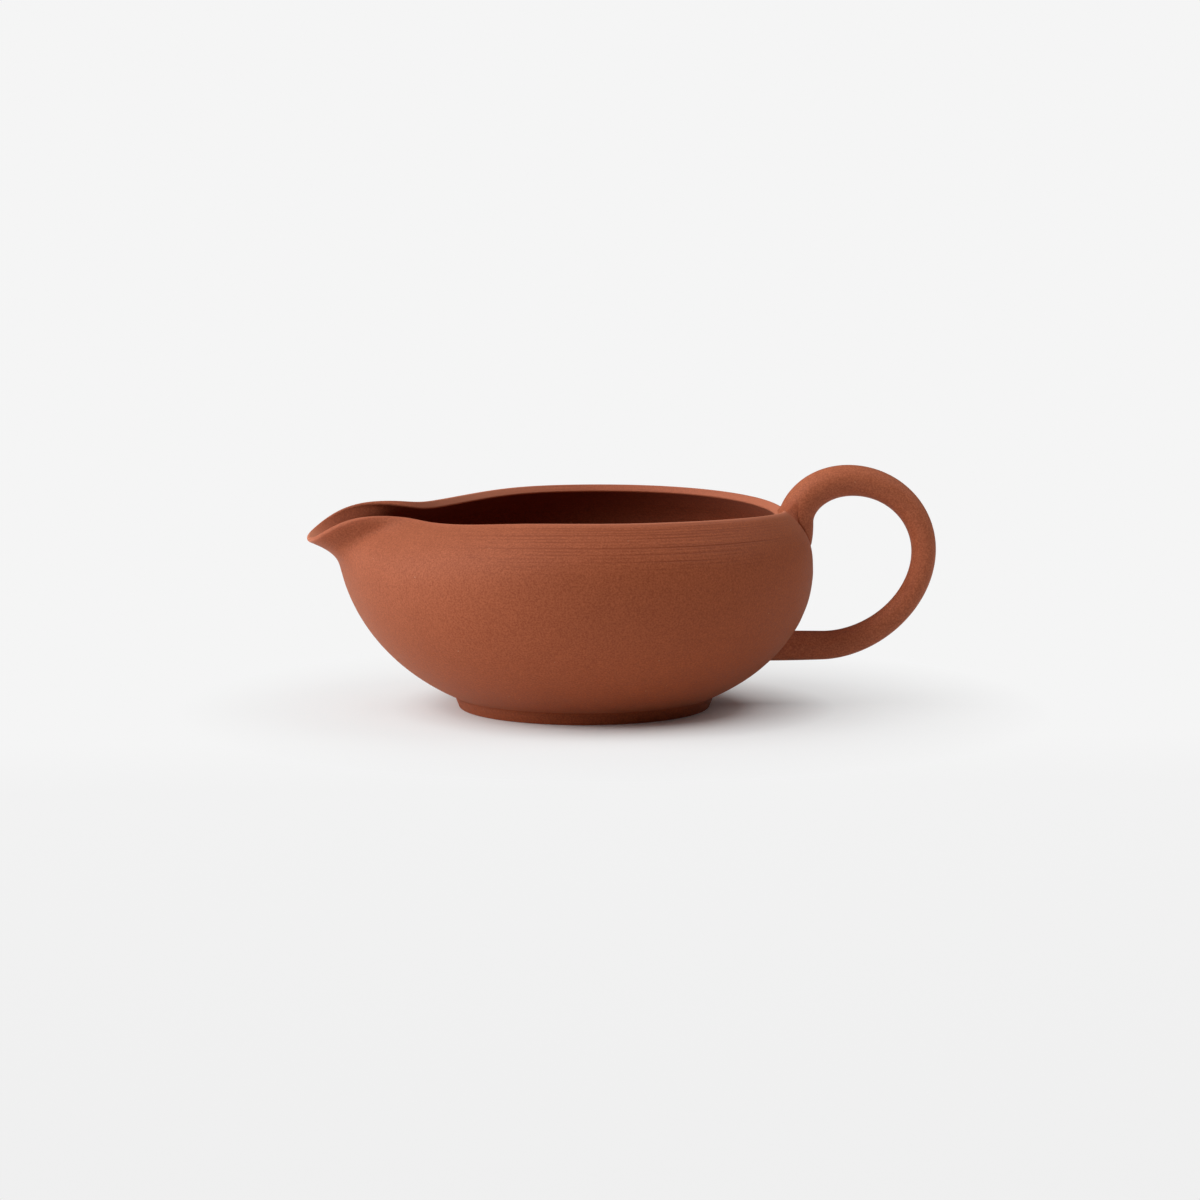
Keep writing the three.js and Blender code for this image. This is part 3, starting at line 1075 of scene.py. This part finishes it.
def clay_colour(tree, dark, light, tone, grit, inner_shade_tone, foot_shade_tone, drift):
    clay = mixed(tree, math_node(tree, "ADD", tone, 0.5), (*dark, 1), (*light, 1))
    gritty = mixed(tree, grit, clay, grit_colour)
    # Painted shade: the inner skin is darkened.
    shade = remap(tree, mark(tree, "inside"), 0, 1, 1, inner_shade_tone)
    # Painted shade: the foot band is darkened.
    foot_shade = remap(tree, mark(tree, "reach"), *foot_shade_reach, foot_shade_tone, 1)
    darkened = add(tree, "ShaderNodeVectorMath", operation="SCALE")
    feed(tree, gritty, darkened.inputs[0])
    feed(tree, math_node(tree, "MULTIPLY", shade, foot_shade), darkened.inputs["Scale"])
    # Painted light and shade drift across the outer wall.
    side_shade = placed(tree, painted_light_drift, {"Amount": 1.0})["Flame"]
    tint = mixed(tree, side_shade, lit_side_tint, shaded_side_tint)
    outer_wall = remap(tree, mark(tree, "reach"), *lip_reach, drift, 0)
    light_tinted = mixed(tree, outer_wall, darkened.outputs[0], tint, "MULTIPLY")
    # The lip turns pale: partly wear, partly a painted highlight.
    return mixed(tree, mark(tree, "wear_and_highlight"), light_tinted, wear_and_highlight_colour)


print("The lip's colour starts", lip_reach[0] / MM, "mm along the skin")

# %% [markdown]
# The three clays differ as the hand worked them. The thrown wall has lines, the coil has only
# grain, and the slip is the smoothest and a little darker than the coil. All are matt: a plain
# rough surface with a weak reflection, and a faint warm sheen for the dust of fine particles at
# the edges. What is the same all over is set on the shader itself.

# %% Clay materials
tone_range = (-0.4, 0.4)
roughness_range = (0.6, 0.72)
line_start = (0.079, 0.085)
inside_calm = 0.15
relief_height = 0.00012


def clay_shader(tree):
    shader = tree.nodes["Principled BSDF"]
    shader.inputs["IOR"].default_value = 1.45
    shader.inputs["Specular IOR Level"].default_value = 0.3
    shader.inputs["Sheen Weight"].default_value = 0.14
    shader.inputs["Sheen Roughness"].default_value = 0.45
    shader.inputs["Sheen Tint"].default_value = (1, 0.6, 0.42, 1)
    return shader.inputs


def clay_material(name, dark, light, grain, grits, bump, lines=0, inner_shade_tone=1, foot_shade_tone=1, drift=0):
    material = bpy.data.materials.new(name)
    material.use_nodes = True
    tree = material.node_tree
    shader = clay_shader(tree)
    reach = mark(tree, "reach")
    grained = placed(tree, clay_grain, {"Contrast": grain, "Grits": grits})
    under_lip = remap(tree, reach, *line_start, 0, 1)
    lined = placed(tree, throwing_lines, {"Strength": lines, "Reach": reach, "Under Lip": under_lip})
    calm = remap(tree, mark(tree, "inside"), 0, 1, 1, inside_calm)
    tone = math_node(tree, "ADD", grained["Tone"], math_node(tree, "MULTIPLY", lined["Tone"], calm))
    colour = clay_colour(tree, dark, light, tone, grained["Grit"], inner_shade_tone, foot_shade_tone, drift)
    feed(tree, colour, shader["Base Color"])
    feed(tree, remap(tree, tone, *tone_range, *roughness_range), shader["Roughness"])
    height = math_node(tree, "ADD", grained["Height"], math_node(tree, "MULTIPLY", lined["Height"], calm))
    relief = add(tree, "ShaderNodeBump")
    for label, value in (("Strength", bump), ("Distance", relief_height), ("Height", height)):
        feed(tree, value, relief.inputs[label])
    feed(tree, relief.outputs["Normal"], shader["Normal"])
    return material


clays = {
    # The red clay takes painted shade on its inner skin and foot band, and the painted light drift on its
    # wall.
    "red_clay": clay_material(
        "red_clay", dark=(0.315, 0.066, 0.024), light=(0.465, 0.114, 0.048), grain=1, grits=0.8, bump=0.6,
        lines=1, inner_shade_tone=0.55, foot_shade_tone=0.86, drift=1),
    "coil_clay": clay_material(
        "coil_clay", dark=(0.38, 0.093, 0.037), light=(0.56, 0.161, 0.072), grain=1, grits=0.6, bump=0.5),
    "luting_slip": clay_material(
        "luting_slip", dark=(0.34, 0.075, 0.028), light=(0.5, 0.13, 0.056), grain=0.9, grits=0.3, bump=0.5),
}
for piece, node, slot in pieces:
    piece.data.materials.append(clays[slot])
print("Materials:", list(clays))

# %% [markdown]
# The pitcher stands on a wide pale sheet that melts into the background. Near the pitcher the
# sheet is an ordinary diffuse floor, so it catches the soft shadow. Further away the camera sees a
# plain tone on it instead, and no horizon shows. Towards the front that tone is a little darker
# than the background, as it is in the photograph.

# %% Floor and background
backdrop_grey = 0.913
near_floor_grey = 0.888
near_floor_start = -0.05
near_floor_end = -0.11
front_start = -0.12
front_end = -0.5
front_drop = 0.025
floor_colour = (0.9, 0.9, 0.9, 1)
floor_glow = 0.015
floor_half = 3
melt_shift = 0.007
melt_front = -0.002
melt_start = 0.0295
melt_bend = 0.053
melt_end = 0.104
melt_at_bend = 0.62


def make_floor():
    mesh = bpy.data.meshes.new("floor_sheet")
    corners = [(-floor_half, -floor_half, 0), (floor_half, -floor_half, 0),
               (floor_half, floor_half, 0), (-floor_half, floor_half, 0)]
    mesh.from_pydata(corners, [], [(0, 1, 2, 3)])
    floor = bpy.data.objects.new("floor_sheet", mesh)
    bpy.context.scene.collection.objects.link(floor)
    return floor


def plain_tone(tree, spot):
    forward = split_spot(tree, spot)["Y"]
    grey = remap(tree, forward, near_floor_start, near_floor_end, backdrop_grey, near_floor_grey)
    drop = remap(tree, forward, front_start, front_end, 0, -front_drop)
    tone = add(tree, "ShaderNodeEmission")
    feed(tree, math_node(tree, "ADD", grey, drop), tone.inputs["Color"])
    return tone.outputs[0]


def melt_share(tree, spot):
    distance = add(tree, "ShaderNodeVectorMath", operation="DISTANCE")
    feed(tree, spot, distance.inputs[0])
    distance.inputs[1].default_value = (axis_x * MM + melt_shift, melt_front, 0)
    near = remap(tree, distance.outputs["Value"], melt_start, melt_bend, 0, melt_at_bend)
    far = remap(tree, distance.outputs["Value"], melt_bend, melt_end, 0, 1 - melt_at_bend)
    return math_node(tree, "ADD", near, far)


def floor_material():
    material = bpy.data.materials.new("pale_sheet")
    material.use_nodes = True
    tree = material.node_tree
    shader = tree.nodes["Principled BSDF"]
    shader.inputs["Base Color"].default_value = floor_colour
    shader.inputs["Roughness"].default_value = 0.9
    shader.inputs["Specular IOR Level"].default_value = 0.1
    shader.inputs["Emission Color"].default_value = (1, 1, 1, 1)
    shader.inputs["Emission Strength"].default_value = floor_glow
    spot = object_spot(tree)
    seen = add(tree, "ShaderNodeLightPath").outputs["Is Camera Ray"]
    blend = add(tree, "ShaderNodeMixShader")
    factor = math_node(tree, "MULTIPLY", melt_share(tree, spot), seen)
    for socket, value in zip(blend.inputs, (factor, shader.outputs[0], plain_tone(tree, spot))):
        feed(tree, value, socket)
    feed(tree, blend.outputs[0], tree.nodes["Material Output"].inputs["Surface"])
    return material


floor = make_floor()
floor.data.materials.append(floor_material())
print("The floor is", 2 * floor_half, "m wide")

# %% [markdown]
# Three large soft lamps stand to the left: a low one, one towards the front and a high one. Together
# they act as one tall window, low enough to leave the inside of the bowl dark. The floor throws
# light back under the belly, and a fourth lamp on the right keeps the handle's side readable.

# %% Lamps
lamp_distance = 2.4
lamp_size = 1.5


def soft_lamp(name, turn, height, power):
    turn, height = math.radians(turn), math.radians(height)
    flat = lamp_distance * math.cos(height)
    data = bpy.data.lights.new(name, "AREA")
    data.size = lamp_size
    data.energy = power
    lamp = bpy.data.objects.new(name, data)
    lamp.location = (-flat * math.cos(turn), flat * math.sin(turn), lamp_distance * math.sin(height))
    lamp.rotation_euler = lamp.location.to_track_quat("Z", "Y").to_euler()
    bpy.context.scene.collection.objects.link(lamp)
    return lamp


lamps = [
    soft_lamp("window_lamp", turn=8, height=18, power=24.5),
    soft_lamp("front_window_lamp", turn=-35, height=35, power=23.5),
    soft_lamp("high_lamp", turn=0, height=62, power=19),
    soft_lamp("far_side_lamp", turn=180, height=50, power=16.5),
]
print("Lamps:", [lamp.name for lamp in lamps])

# %% [markdown]
# The room itself is almost dark, so that the lamps model the shape. The camera sees it in the pale
# tone of the background all the same: the Light Path node tells the camera's rays from those that
# carry light. The Standard view shows colours as they are written.

# %% Room
room_light = 0.02


def make_room():
    world = bpy.data.worlds.new("room")
    bpy.context.scene.world = world
    world.use_nodes = True
    tree = world.node_tree
    background = tree.nodes["Background"]
    background.inputs["Color"].default_value = (1, 1, 1, 1)
    background.inputs["Strength"].default_value = room_light
    seen_room = add(tree, "ShaderNodeBackground")
    seen_room.inputs["Color"].default_value = (backdrop_grey, backdrop_grey, backdrop_grey, 1)
    seen = add(tree, "ShaderNodeLightPath").outputs["Is Camera Ray"]
    blend = add(tree, "ShaderNodeMixShader")
    for socket, value in zip(blend.inputs, (seen, background.outputs[0], seen_room.outputs[0])):
        feed(tree, value, socket)
    feed(tree, blend.outputs[0], tree.nodes["World Output"].inputs["Surface"])
    return world


room = make_room()
bpy.context.scene.view_settings.view_transform = "Standard"
print("The", room.name, "gives light at", room_light, "and is seen at", backdrop_grey)
